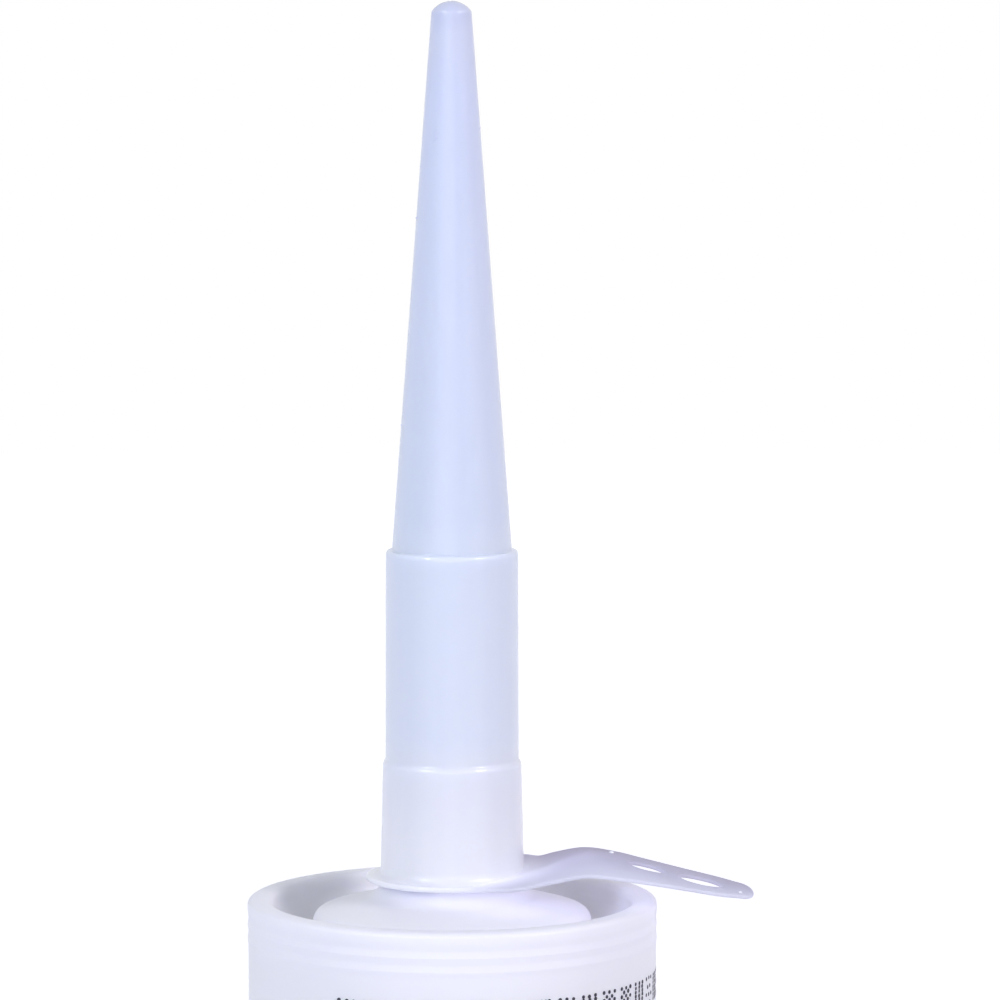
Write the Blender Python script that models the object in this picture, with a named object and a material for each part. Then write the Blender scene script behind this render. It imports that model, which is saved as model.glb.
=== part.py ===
"""A 300 ml sealant cartridge with a screw-on nozzle that carries a hang tab.

Four pieces stand on one axis: the cartridge with its recessed shoulder and threaded
neck, the long closed nozzle with its tab, the piston in the rear, and the sealant
between piston and shoulder. Units are metres, +Z points at the nozzle's tip, and the
cartridge stands on its rear rim at z = 0.
"""

import math

import bmesh
import bpy

MM = 0.001

# Clearances between the pieces.
SEAT_GAP = 0.3 * MM
THREAD_CLEARANCE = 0.3 * MM
PISTON_CLEARANCE = 0.3 * MM
FILL_CLEARANCE = 0.3 * MM

# Cartridge: one moulding from the open rear end to the neck.
BARREL_DIAMETER = 49.7 * MM
BARREL_WALL = 1.5 * MM
BARREL_LENGTH = 215.0 * MM
REAR_EDGE_CHAMFER = 0.3 * MM
LEAD_IN_LENGTH = 3.0 * MM
LEAD_IN_DEPTH = 0.4 * MM

# Front rim: a thick rounded ring with two shallow grooves outside, a bead below each.
RIM_WALL = 3.05 * MM
RIM_PROUD = 0.1 * MM
RIM_OUTER_ROUNDING = 1.1 * MM
RIM_INNER_ROUNDING = 0.8 * MM
GROOVES_BELOW_RIM = (2.2 * MM, 3.85 * MM)
GROOVE_DEPTH = 0.3 * MM
GROOVE_HALF_WIDTH = 0.55 * MM
GROOVE_FLOOR_HALF_WIDTH = 0.15 * MM
RIM_LENGTH = 5.4 * MM
RIM_FADE = 0.6 * MM

# Shoulder: recessed inside the rim, a shallow cone that rises to a hub.
RECESS_DEPTH = 4.5 * MM
RECESS_CORNER = 0.6 * MM
SHOULDER_DIAMETER = 34.0 * MM
SHOULDER_BELOW_RIM = 1.58 * MM
SHOULDER_EDGE_ROUNDING = 0.5 * MM
SHOULDER_WALL = 1.6 * MM
HUB_FOOT_DIAMETER = 18.0 * MM
HUB_FOOT_ABOVE_RIM = 0.17 * MM
HUB_TOP_DIAMETER = 15.0 * MM
HUB_TOP_ABOVE_RIM = 1.95 * MM

# Neck: a short tube with an external thread, closed by a membrane that is cut in use.
NECK_CORE_DIAMETER = 12.2 * MM
NECK_BORE_DIAMETER = 9.6 * MM
NECK_LENGTH = 11.5 * MM
NECK_EDGE_CHAMFER = 0.5 * MM
MEMBRANE_THICKNESS = 0.8 * MM
THREAD_HEIGHT = 0.75 * MM
THREAD_SUNK = 0.3 * MM
THREAD_PITCH = 3.0 * MM
THREAD_ROOT_WIDTH = 1.8 * MM
THREAD_CREST_WIDTH = 0.6 * MM
THREAD_TURNS = 2.75
THREAD_START = 1.7 * MM
THREAD_RUN_OUT = 0.25

# Nozzle: collar, cylinder, cone and closed tip, all heights from its foot.
NOZZLE_HEIGHT = 106.6 * MM
TIP_LENGTH = 2.3 * MM
COLLAR_HEIGHT = 14.7 * MM
CYLINDER_TOP = 40.35 * MM
COLLAR_FOOT_DIAMETER = 17.5 * MM
COLLAR_TOP_DIAMETER = 16.85 * MM
CYLINDER_FOOT_DIAMETER = 16.2 * MM
CYLINDER_TOP_DIAMETER = 16.05 * MM
CONE_FOOT_DIAMETER = 14.54 * MM
CONE_TOP_DIAMETER = 5.08 * MM
COLLAR_EDGE_ROUNDING = 0.5 * MM
CYLINDER_EDGE_ROUNDING = 0.6 * MM
CYLINDER_WALL = 1.2 * MM
CONE_WALL = 1.1 * MM
TIP_WALL = 1.6 * MM
COLLAR_TOP_WALL = 1.4 * MM
HOLLOW_STEP_SLOPE = 0.6 * MM

# Flange round the nozzle's foot, and the hang tab that grows out of it along +X.
FLANGE_DIAMETER = 20.9 * MM
FLANGE_THICKNESS = 0.7 * MM
FLANGE_EDGE_CHAMFER = 0.15 * MM
FOOT_FILLET = 0.3 * MM
TAB_THICKNESS = 0.5 * MM
TAB_REACH = 36.75 * MM
# Along the tab: distance from the axis as a share of the reach, height of its side edges
# over the foot, half of its width, and how far its middle stands above its edges.
TAB_STATIONS = (
    (0.0, 0.05 * MM, 10.2 * MM, 0.0 * MM),
    (0.109, 0.20 * MM, 11.2 * MM, 0.0 * MM),
    (0.215, 0.50 * MM, 12.3 * MM, 0.1 * MM),
    (0.25, 0.63 * MM, 11.8 * MM, 0.2 * MM),
    (0.291, 0.72 * MM, 10.3 * MM, 0.3 * MM),
    (0.34, 1.13 * MM, 10.5 * MM, 0.4 * MM),
    (0.441, 1.76 * MM, 10.3 * MM, 0.5 * MM),
    (0.544, 1.34 * MM, 9.8 * MM, 0.5 * MM),
    (0.645, 0.62 * MM, 8.6 * MM, 0.4 * MM),
    (0.773, -0.34 * MM, 7.2 * MM, 0.1 * MM),
    (0.893, -1.24 * MM, 6.0 * MM, 0.0 * MM),
    (0.952, -1.66 * MM, 4.7 * MM, 0.0 * MM),
)
TAB_TIP_HEIGHT = -2.02 * MM
TAB_EDGE_ROUNDING = 0.2 * MM
# Place as a share of the reach, and diameter.
TAB_HOLES = ((0.645, 4.4 * MM), (0.822, 5.3 * MM))

# Piston: a thin cup open to the rear, with a sealing lip at each end of its skirt.
PISTON_LENGTH = 22.0 * MM
PISTON_RECESS = 10.5 * MM
PISTON_SKIRT_WALL = 1.3 * MM
PISTON_FACE_WALL = 1.6 * MM
PISTON_FLAT_DIAMETER = 22.0 * MM
PISTON_CONE_DROP = 2.6 * MM
PISTON_LIP_HEIGHT = 2.4 * MM
PISTON_LIP_DEPTH = 0.6 * MM
PISTON_RIB_COUNT = 6
PISTON_RIB_THICKNESS = 1.2 * MM
PISTON_RIB_LENGTH = 6.0 * MM
PISTON_RIB_DEPTH = 5.0 * MM

# Facets round each turned piece.
BARREL_FACETS = 48
NOZZLE_FACETS = 40
PISTON_FACETS = 40
THREAD_FACETS = 20
HOLE_FACETS = 20

# Worked-out sizes.
BARREL_R = BARREL_DIAMETER / 2
RIM_R = BARREL_R + RIM_PROUD
BORE_R = BARREL_R - BARREL_WALL
RIM_INNER_R = RIM_R - RIM_WALL
RECESS_FLOOR = BARREL_LENGTH - RECESS_DEPTH
SHOULDER_R = SHOULDER_DIAMETER / 2
SHOULDER_EDGE = BARREL_LENGTH - SHOULDER_BELOW_RIM
HUB_FOOT_R = HUB_FOOT_DIAMETER / 2
HUB_FOOT = BARREL_LENGTH + HUB_FOOT_ABOVE_RIM
HUB_TOP_R = HUB_TOP_DIAMETER / 2
HUB_TOP = BARREL_LENGTH + HUB_TOP_ABOVE_RIM
NECK_R = NECK_CORE_DIAMETER / 2
NECK_BORE_R = NECK_BORE_DIAMETER / 2
NECK_TOP = HUB_TOP + NECK_LENGTH
MEMBRANE = NECK_TOP - MEMBRANE_THICKNESS
# Inside of the shoulder: the corner under the recess, and the foot of the neck's bore.
CEILING = RECESS_FLOOR - SHOULDER_WALL
CEILING_CORNER_R = SHOULDER_R - SHOULDER_WALL
CEILING_TOP = SHOULDER_EDGE - SHOULDER_WALL
NECK_BORE_FOOT = HUB_FOOT - SHOULDER_WALL / 2
NOZZLE_FOOT = HUB_TOP + SEAT_GAP
COLLAR_BORE_R = NECK_R + THREAD_HEIGHT + THREAD_CLEARANCE
PISTON_R = BORE_R - PISTON_CLEARANCE
PISTON_SKIRT_R = PISTON_R - PISTON_LIP_DEPTH
PISTON_INNER_R = PISTON_SKIRT_R - PISTON_SKIRT_WALL
PISTON_FRONT = PISTON_RECESS + PISTON_LENGTH
# The outline is centred on x = 0, from the rim on the left to the tab's end on the right.
AXIS_X = (RIM_R - TAB_REACH) / 2


def arc(r, z, radius, start, end, steps):
    """Points on an arc about (r, z), angles in degrees from +r towards +z."""
    points = []
    for i in range(steps + 1):
        angle = math.radians(start + (end - start) * i / steps)
        points.append((r + radius * math.cos(angle), z + radius * math.sin(angle)))
    return points


def plastic(name, colour, roughness):
    material = bpy.data.materials.new(name)
    material.use_nodes = True
    shader = material.node_tree.nodes["Principled BSDF"]
    shader.inputs["Base Color"].default_value = (*colour, 1.0)
    shader.inputs["Roughness"].default_value = roughness
    shader.inputs["Metallic"].default_value = 0.0
    return material


def mesh_of(name, bm):
    """Turns a bmesh into a mesh whose faces point out."""
    bmesh.ops.recalc_face_normals(bm, faces=bm.faces)
    mesh = bpy.data.meshes.new(name)
    bm.to_mesh(mesh)
    bm.free()
    return mesh


def turned(name, profile, facets):
    """A closed mesh turned from a loop of (r, z). A point at r = 0 becomes a pole."""
    bm = bmesh.new()
    rings = []
    for r, z in profile:
        if r < 1e-7:
            rings.append([bm.verts.new((0.0, 0.0, z))])
            continue
        ring = []
        for i in range(facets):
            angle = 2 * math.pi * i / facets
            ring.append(bm.verts.new((r * math.cos(angle), r * math.sin(angle), z)))
        rings.append(ring)
    for upper, lower in zip(rings, rings[1:] + rings[:1]):
        if len(upper) == len(lower) == 1:
            continue
        for i in range(facets):
            j = (i + 1) % facets
            if len(upper) == 1:
                bm.faces.new((upper[0], lower[i], lower[j]))
            elif len(lower) == 1:
                bm.faces.new((upper[i], lower[0], upper[j]))
            else:
                bm.faces.new((upper[i], lower[i], lower[j], upper[j]))
    return mesh_of(name, bm)


def lofted(name, sections):
    """A closed mesh through sections that all have the same number of points."""
    bm = bmesh.new()
    rings = [[bm.verts.new(point) for point in section] for section in sections]
    for near, far in zip(rings, rings[1:]):
        for k in range(len(near)):
            m = (k + 1) % len(near)
            bm.faces.new((near[k], near[m], far[m], far[k]))
    bm.faces.new(rings[0])
    bm.faces.new(list(reversed(rings[-1])))
    return mesh_of(name, bm)


def add_piece(name, mesh, material, axis):
    """Stands a mesh on the tube's axis, smooth but for its sharp edges."""
    mesh.materials.append(material)
    mesh.shade_smooth()
    mesh.set_sharp_from_angle(angle=math.radians(35))
    piece = bpy.data.objects.new(name, mesh)
    piece.parent = axis
    bpy.context.scene.collection.objects.link(piece)
    return piece


def combine(piece, tool, operation):
    """Joins a helper to a piece or cuts it out, and keeps the helper out of renders."""
    tool.hide_render = True
    tool.display_type = "WIRE"
    modifier = piece.modifiers.new(tool.name, "BOOLEAN")
    modifier.operation = operation
    modifier.object = tool
    modifier.solver = "EXACT"


def cartridge_profile():
    """From the neck's top down outside to the rear rim, then up inside to the membrane."""
    profile = [(0.0, NECK_TOP), (NECK_R - NECK_EDGE_CHAMFER, NECK_TOP)]
    profile += [(NECK_R, NECK_TOP - NECK_EDGE_CHAMFER), (NECK_R, HUB_TOP)]
    # Hub: its side sweeps out as a quarter of an ellipse into the cone.
    for degrees in (90, 60, 30, 0):
        turn = math.radians(degrees)
        r = HUB_FOOT_R - (HUB_FOOT_R - HUB_TOP_R) * math.sin(turn)
        profile.append((r, HUB_FOOT + (HUB_TOP - HUB_FOOT) * (1 - math.cos(turn))))
    # Edge of the cone, the recess and the rim.
    profile += arc(SHOULDER_R - SHOULDER_EDGE_ROUNDING, SHOULDER_EDGE - SHOULDER_EDGE_ROUNDING,
                   SHOULDER_EDGE_ROUNDING, 75, 0, 3)
    profile += [(SHOULDER_R, RECESS_FLOOR + RECESS_CORNER), (SHOULDER_R + RECESS_CORNER, RECESS_FLOOR)]
    profile += [(RIM_INNER_R - RECESS_CORNER, RECESS_FLOOR), (RIM_INNER_R, RECESS_FLOOR + RECESS_CORNER)]
    profile += arc(RIM_INNER_R + RIM_INNER_ROUNDING, BARREL_LENGTH - RIM_INNER_ROUNDING,
                   RIM_INNER_ROUNDING, 180, 90, 3)
    profile += arc(RIM_R - RIM_OUTER_ROUNDING, BARREL_LENGTH - RIM_OUTER_ROUNDING,
                   RIM_OUTER_ROUNDING, 90, 0, 4)
    for below in GROOVES_BELOW_RIM:
        z = BARREL_LENGTH - below
        profile += [(RIM_R, z + GROOVE_HALF_WIDTH), (RIM_R - GROOVE_DEPTH, z + GROOVE_FLOOR_HALF_WIDTH)]
        profile += [(RIM_R - GROOVE_DEPTH, z - GROOVE_FLOOR_HALF_WIDTH), (RIM_R, z - GROOVE_HALF_WIDTH)]
    rim_end = BARREL_LENGTH - RIM_LENGTH
    profile += [(RIM_R, rim_end + RIM_FADE), (BARREL_R, rim_end), (BARREL_R, REAR_EDGE_CHAMFER)]
    profile += [(BARREL_R - REAR_EDGE_CHAMFER, 0.0)]
    # Bore with a lead-in for the piston, then the inside of the shoulder.
    profile += [(BORE_R + LEAD_IN_DEPTH, 0.0), (BORE_R, LEAD_IN_LENGTH)]
    profile += [(BORE_R, CEILING - RECESS_CORNER), (BORE_R - RECESS_CORNER, CEILING)]
    profile += [(CEILING_CORNER_R, CEILING), (CEILING_CORNER_R, CEILING_TOP)]
    profile += [(NECK_BORE_R, NECK_BORE_FOOT), (NECK_BORE_R, MEMBRANE), (0.0, MEMBRANE)]
    return profile


def thread_sections():
    """A ridge carried up a helix, that grows out of the neck and sinks back into it."""
    steps = round(THREAD_TURNS * THREAD_FACETS)
    run_out = THREAD_RUN_OUT * THREAD_FACETS
    sections = []
    for i in range(steps + 1):
        angle = 2 * math.pi * (i + 0.5) / THREAD_FACETS
        z = HUB_TOP + THREAD_START + THREAD_PITCH * i / THREAD_FACETS
        grown = min(1.0, min(i, steps - i) / run_out)
        inner = NECK_R - THREAD_SUNK
        crest = inner + 0.5 * THREAD_SUNK + (THREAD_HEIGHT + 0.5 * THREAD_SUNK) * grown
        low, high = -THREAD_ROOT_WIDTH / 2, THREAD_ROOT_WIDTH / 2
        crest_low, crest_high = -THREAD_CREST_WIDTH / 2, THREAD_CREST_WIDTH / 2
        section = []
        for r, up in ((inner, low), (crest, crest_low), (crest, crest_high), (inner, high)):
            section.append((r * math.cos(angle), r * math.sin(angle), z + up))
        sections.append(section)
    return sections


def make_cartridge(axis):
    """Barrel, rim, shoulder and neck in one turned solid, with the thread joined on."""
    white = plastic("white_hdpe", (0.86, 0.87, 0.93), 0.4)
    cartridge = add_piece("cartridge", turned("cartridge", cartridge_profile(), BARREL_FACETS), white, axis)
    thread = add_piece("neck_thread", lofted("neck_thread", thread_sections()), white, axis)
    combine(cartridge, thread, "UNION")


def nozzle_outside():
    """The outside from the closed tip down to the foot, closed across the foot."""
    top = NOZZLE_FOOT + NOZZLE_HEIGHT
    tip_r = CONE_TOP_DIAMETER / 2
    profile = [(0.0, top)]
    for degrees in (68, 45, 22, 0):
        turn = math.radians(degrees)
        profile.append((tip_r * math.cos(turn), top - TIP_LENGTH * (1 - math.sin(turn))))
    cylinder_top = NOZZLE_FOOT + CYLINDER_TOP
    cylinder_r = CYLINDER_TOP_DIAMETER / 2
    profile.append((CONE_FOOT_DIAMETER / 2, cylinder_top))
    profile += arc(cylinder_r - CYLINDER_EDGE_ROUNDING, cylinder_top - CYLINDER_EDGE_ROUNDING,
                   CYLINDER_EDGE_ROUNDING, 90, 0, 2)
    collar_top = NOZZLE_FOOT + COLLAR_HEIGHT
    collar_r = COLLAR_TOP_DIAMETER / 2
    profile += [(CYLINDER_FOOT_DIAMETER / 2, collar_top + COLLAR_EDGE_ROUNDING / 2)]
    profile += [(collar_r - COLLAR_EDGE_ROUNDING / 3, collar_top - COLLAR_EDGE_ROUNDING / 3)]
    profile += [(collar_r, collar_top - COLLAR_EDGE_ROUNDING)]
    flange_top = NOZZLE_FOOT + FLANGE_THICKNESS
    foot_r = COLLAR_FOOT_DIAMETER / 2
    flange_r = FLANGE_DIAMETER / 2
    profile += [(foot_r, flange_top + FOOT_FILLET), (foot_r + FOOT_FILLET, flange_top)]
    profile += [(flange_r - FLANGE_EDGE_CHAMFER, flange_top), (flange_r, flange_top - FLANGE_EDGE_CHAMFER)]
    profile += [(flange_r, NOZZLE_FOOT + FLANGE_EDGE_CHAMFER), (flange_r - FLANGE_EDGE_CHAMFER, NOZZLE_FOOT)]
    profile += [(0.0, NOZZLE_FOOT)]
    return profile


def nozzle_hollow():
    """The inside, from the tip's wall down through the collar and out of the foot."""
    dome_foot = NOZZLE_FOOT + NOZZLE_HEIGHT - TIP_LENGTH
    cylinder_top = NOZZLE_FOOT + CYLINDER_TOP
    cylinder_r = CYLINDER_TOP_DIAMETER / 2 - CYLINDER_WALL
    bore_top = NOZZLE_FOOT + COLLAR_HEIGHT - COLLAR_TOP_WALL
    profile = [(0.0, dome_foot), (CONE_TOP_DIAMETER / 2 - CONE_WALL, dome_foot - TIP_WALL)]
    profile += [(CONE_FOOT_DIAMETER / 2 - CONE_WALL, cylinder_top), (cylinder_r, cylinder_top - CYLINDER_WALL)]
    profile += [(cylinder_r, bore_top + HOLLOW_STEP_SLOPE), (COLLAR_BORE_R, bore_top)]
    profile += [(COLLAR_BORE_R, NOZZLE_FOOT - FLANGE_THICKNESS), (0.0, NOZZLE_FOOT - FLANGE_THICKNESS)]
    return profile


def tab_curve():
    """The stations, one more read from a smooth curve between each two, and the round end."""
    placed = [(TAB_REACH * share, *sizes) for share, *sizes in TAB_STATIONS]
    stations = []
    for i, start in enumerate(placed[:-1]):
        before = placed[max(i - 1, 0)]
        end = placed[i + 1]
        after = placed[min(i + 2, len(placed) - 1)]
        halfway = [(9 * (b + c) - a - d) / 16 for a, b, c, d in zip(before, start, end, after)]
        stations += [start, halfway]
    last_x, last_height, last_half_width, camber = placed[-1]
    stations.append(placed[-1])
    for share in (0.45, 0.75, 0.93, 1.0):
        half_width = last_half_width * math.sqrt(1.04 - share ** 2)
        height = last_height + (TAB_TIP_HEIGHT - last_height) * share
        stations.append((last_x + (TAB_REACH - last_x) * share, height, half_width, camber))
    return stations


def tab_section(x, edge_height, half_width, camber):
    """A thin arched strip across the tab, with small roundings along both edges."""
    rounding = min(TAB_EDGE_ROUNDING, half_width / 4)
    across = [half_width, half_width - rounding]
    across += [half_width * share for share in (0.6, 0.2)]
    across += [-y for y in reversed(across)]
    upper, lower = [], []
    for y in across:
        arch = edge_height + camber * (1 - (y / half_width) ** 2)
        at_edge = rounding if abs(y) > half_width - rounding / 2 else 0.0
        upper.append((x, y, NOZZLE_FOOT + arch + TAB_THICKNESS - at_edge))
        lower.append((x, y, NOZZLE_FOOT + arch + at_edge))
    return upper + lower[::-1]


def tab_middle(x):
    """Height of the middle of the tab's thickness at x, and its slope along the tab."""
    stations = tab_curve()
    for near, far in zip(stations, stations[1:]):
        if near[0] <= x <= far[0]:
            share = (x - near[0]) / (far[0] - near[0])
            low, high = near[1] + near[3], far[1] + far[3]
            height = low + (high - low) * share + TAB_THICKNESS / 2
            return NOZZLE_FOOT + height, math.atan2(high - low, far[0] - near[0])
    return NOZZLE_FOOT, 0.0


def make_nozzle(axis):
    """The nozzle's solid with its tab, hollowed out, and the tab's two round holes."""
    natural = plastic("natural_ldpe", (0.76, 0.81, 0.94), 0.35)
    nozzle = add_piece("nozzle", turned("nozzle", nozzle_outside(), NOZZLE_FACETS), natural, axis)
    tab = lofted("hang_tab", [tab_section(*station) for station in tab_curve()])
    combine(nozzle, add_piece("hang_tab", tab, natural, axis), "UNION")
    hollow = turned("nozzle_hollow", nozzle_hollow(), NOZZLE_FACETS)
    combine(nozzle, add_piece("nozzle_hollow", hollow, natural, axis), "DIFFERENCE")
    for i, (place, diameter) in enumerate(TAB_HOLES):
        name = f"tab_hole_{i + 1}"
        x = TAB_REACH * place
        height, lean = tab_middle(x)
        bm = bmesh.new()
        bmesh.ops.create_cone(bm, cap_ends=True, segments=HOLE_FACETS, radius1=diameter / 2,
                              radius2=diameter / 2, depth=5 * TAB_THICKNESS)
        cutter = add_piece(name, mesh_of(name, bm), natural, axis)
        cutter.location = (x, 0.0, height)
        cutter.rotation_euler = (0.0, -lean, 0.0)
        combine(nozzle, cutter, "DIFFERENCE")


def piston_front(r):
    """Height of the piston's front face at a radius: flat in the middle, then a cone."""
    flat_r = PISTON_FLAT_DIAMETER / 2
    share = max(0.0, (r - flat_r) / (PISTON_R - flat_r))
    return PISTON_FRONT - PISTON_CONE_DROP * share


def piston_profile():
    """From the front face down the skirt and its two lips, then up inside the cup."""
    flat_r = PISTON_FLAT_DIAMETER / 2
    lip_top = piston_front(PISTON_R)
    profile = [(0.0, PISTON_FRONT), (flat_r, PISTON_FRONT), (PISTON_R, lip_top)]
    profile += [(PISTON_R, lip_top - PISTON_LIP_HEIGHT)]
    profile += [(PISTON_SKIRT_R, lip_top - PISTON_LIP_HEIGHT - PISTON_LIP_DEPTH)]
    profile += [(PISTON_SKIRT_R, PISTON_RECESS + PISTON_LIP_HEIGHT + PISTON_LIP_DEPTH)]
    profile += [(PISTON_R, PISTON_RECESS + PISTON_LIP_HEIGHT), (PISTON_R, PISTON_RECESS)]
    profile += [(PISTON_INNER_R, PISTON_RECESS)]
    profile += [(PISTON_INNER_R, piston_front(PISTON_INNER_R) - PISTON_FACE_WALL)]
    profile += [(flat_r, PISTON_FRONT - PISTON_FACE_WALL), (0.0, PISTON_FRONT - PISTON_FACE_WALL)]
    return profile


def piston_ribs():
    """Small webs that stiffen the corner between the piston's face and its skirt."""
    bm = bmesh.new()
    inner = PISTON_INNER_R - PISTON_RIB_LENGTH
    outer = PISTON_INNER_R + PISTON_SKIRT_WALL / 2
    low = piston_front(PISTON_INNER_R) - PISTON_FACE_WALL - PISTON_RIB_DEPTH
    top_inner = piston_front(inner) - PISTON_FACE_WALL / 2
    top_outer = piston_front(outer) - PISTON_FACE_WALL / 2
    outline = ((inner, top_inner), (outer, top_outer), (outer, low))
    for i in range(PISTON_RIB_COUNT):
        angle = 2 * math.pi * (i + 0.5) / PISTON_RIB_COUNT
        corners = []
        for across in (-PISTON_RIB_THICKNESS / 2, PISTON_RIB_THICKNESS / 2):
            for r, z in outline:
                x = r * math.cos(angle) - across * math.sin(angle)
                y = r * math.sin(angle) + across * math.cos(angle)
                corners.append(bm.verts.new((x, y, z)))
        near, far = corners[:3], corners[3:]
        bm.faces.new(near)
        bm.faces.new(far[::-1])
        for k in range(3):
            m = (k + 1) % 3
            bm.faces.new((near[m], near[k], far[k], far[m]))
    return mesh_of("piston_ribs", bm)


def make_piston(axis):
    """The turned cup with its ribs joined on."""
    white = plastic("piston_ldpe", (0.80, 0.82, 0.85), 0.45)
    piston = add_piece("piston", turned("piston", piston_profile(), PISTON_FACETS), white, axis)
    combine(piston, add_piece("piston_ribs", piston_ribs(), white, axis), "UNION")


def sealant_profile():
    """The paste between shoulder and piston, a clearance inside all that holds it."""
    gap = FILL_CLEARANCE
    side_r = BORE_R - gap
    flat_r = PISTON_FLAT_DIAMETER / 2
    profile = [(0.0, MEMBRANE - gap), (NECK_BORE_R - gap, MEMBRANE - gap)]
    profile += [(NECK_BORE_R - gap, NECK_BORE_FOOT - gap), (CEILING_CORNER_R - gap, CEILING_TOP - gap)]
    profile += [(CEILING_CORNER_R - gap, CEILING - gap), (side_r - RECESS_CORNER, CEILING - gap)]
    profile += [(side_r, CEILING - gap - RECESS_CORNER), (side_r, piston_front(PISTON_R) + gap)]
    profile += [(flat_r, PISTON_FRONT + gap), (0.0, PISTON_FRONT + gap)]
    return profile


def make_sealant(axis):
    paste = plastic("sealant_paste", (0.78, 0.77, 0.74), 0.5)
    add_piece("sealant", turned("sealant", sealant_profile(), PISTON_FACETS), paste, axis)


def main():
    for old in list(bpy.data.objects):
        bpy.data.objects.remove(old, do_unlink=True)
    axis = bpy.data.objects.new("tube_axis", None)
    axis.location = (AXIS_X, 0.0, 0.0)
    bpy.context.scene.collection.objects.link(axis)
    make_cartridge(axis)
    make_nozzle(axis)
    make_piston(axis)
    make_sealant(axis)


main()
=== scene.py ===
import math

import bpy
import numpy as np
from mathutils.geometry import delaunay_2d_cdt
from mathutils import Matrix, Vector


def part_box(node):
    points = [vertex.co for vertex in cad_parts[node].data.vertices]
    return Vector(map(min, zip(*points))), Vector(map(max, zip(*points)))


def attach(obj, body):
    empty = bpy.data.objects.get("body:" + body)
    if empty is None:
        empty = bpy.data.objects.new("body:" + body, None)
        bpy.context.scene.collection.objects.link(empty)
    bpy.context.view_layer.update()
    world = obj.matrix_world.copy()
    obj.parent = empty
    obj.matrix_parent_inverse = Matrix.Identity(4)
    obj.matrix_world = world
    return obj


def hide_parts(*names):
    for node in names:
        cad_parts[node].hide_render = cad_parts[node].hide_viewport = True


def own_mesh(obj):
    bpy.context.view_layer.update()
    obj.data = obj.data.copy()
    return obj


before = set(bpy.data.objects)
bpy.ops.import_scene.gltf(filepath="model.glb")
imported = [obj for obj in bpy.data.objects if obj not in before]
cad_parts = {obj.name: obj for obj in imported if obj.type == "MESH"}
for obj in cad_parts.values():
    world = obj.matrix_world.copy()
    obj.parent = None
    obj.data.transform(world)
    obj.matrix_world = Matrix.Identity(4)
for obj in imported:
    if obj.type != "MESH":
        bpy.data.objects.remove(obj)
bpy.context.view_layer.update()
print("frame loaded")

mm = 0.001
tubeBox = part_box("cartridge")
tubeX = (tubeBox[0][0] + tubeBox[1][0]) / 2    # the tube's own axis
rimTop = 215.0    # millimetres, as every size below until it goes into a mesh
nozzleFoot = rimTop + 2.25    # 0.3 mm clear of the hub


# small helpers

def linear(hexColour):
    # an sRGB hex value as linear red, green, blue and alpha
    srgb = np.array([int(hexColour[i:i + 2], 16) for i in (1, 3, 5)]) / 255
    low, high = srgb / 12.92, ((srgb + 0.055) / 1.055) ** 2.4
    return (*np.where(srgb <= 0.04045, low, high).tolist(), 1.0)


def addNode(tree, kind, inputs=None, **settings):
    # an input takes a plain value or another node's output
    node = tree.nodes.new(kind)
    for key, value in settings.items():
        setattr(node, key, value)
    for key, value in (inputs or {}).items():
        if isinstance(value, bpy.types.NodeSocket):
            tree.links.new(value, node.inputs[key])
        else:
            node.inputs[key].default_value = value
    return node


def newPiece(name, points, faces, material, body):
    # points in millimetres about the tube's axis
    mesh = bpy.data.meshes.new(name)
    placed = np.asarray(points, float) * mm + np.array([tubeX, 0, 0])
    mesh.from_pydata(placed.tolist(), [], faces)
    mesh.validate()
    mesh.shade_smooth()
    mesh.materials.append(material)
    piece = bpy.data.objects.new(name, mesh)
    bpy.context.scene.collection.objects.link(piece)
    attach(piece, body)
    print(name, len(mesh.vertices), "points")
    return piece


def softened(corners, cornerSteps=5, longest=6.0, hug=0.1):
    # Corners (r, z, rounding). Each rounded corner becomes a parabola that starts and ends
    # on its two sides: (1-t)^2 A + 2 t (1-t) corner + t^2 B. Straight runs get a point close
    # to both ends, so that smooth shading stays flat on them, and more where they are long.
    pts = np.array([c[:2] for c in corners], float)
    rounding = np.array([c[2] if len(c) > 2 else 0.0 for c in corners])
    side = np.linalg.norm(np.diff(pts, axis=0), axis=1)
    arcs = [pts[:1]]
    for i in range(1, len(pts) - 1):
        if rounding[i] == 0:
            arcs.append(pts[i:i + 1])
            continue
        back = min(rounding[i], 0.48 * side[i - 1]) / side[i - 1]
        ahead = min(rounding[i], 0.48 * side[i]) / side[i]
        a = pts[i] + (pts[i - 1] - pts[i]) * back
        b = pts[i] + (pts[i + 1] - pts[i]) * ahead
        t = np.linspace(0, 1, cornerSteps + 1)[:, None]
        arcs.append((1 - t) ** 2 * a + 2 * t * (1 - t) * pts[i] + t ** 2 * b)
    arcs.append(pts[-1:])
    out = []
    for near, far in zip(arcs, arcs[1:]):
        out.append(near)
        a, b = near[-1], far[0]
        run = np.linalg.norm(b - a)
        if run > 4 * hug:
            between = np.linspace(0, 1, int(run // longest) + 2)[1:-1]
            shares = np.concatenate([[hug / run], between, [1 - hug / run]])
            out.append(a + (b - a) * shares[:, None])
    out.append(arcs[-1])
    return np.concatenate(out)


def gridQuads(rows, columns, joinRows=False, joinColumns=False):
    # Quads between neighbouring points of a grid stored row by row; where joined, the last
    # row or column meets the first.
    i, j = np.meshgrid(np.arange(rows if joinRows else rows - 1),
                       np.arange(columns if joinColumns else columns - 1), indexing="ij")
    below, after = (i + 1) % rows, (j + 1) % columns
    return np.stack([i * columns + j, below * columns + j,
                     below * columns + after, i * columns + after], -1).reshape(-1, 4)


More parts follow.
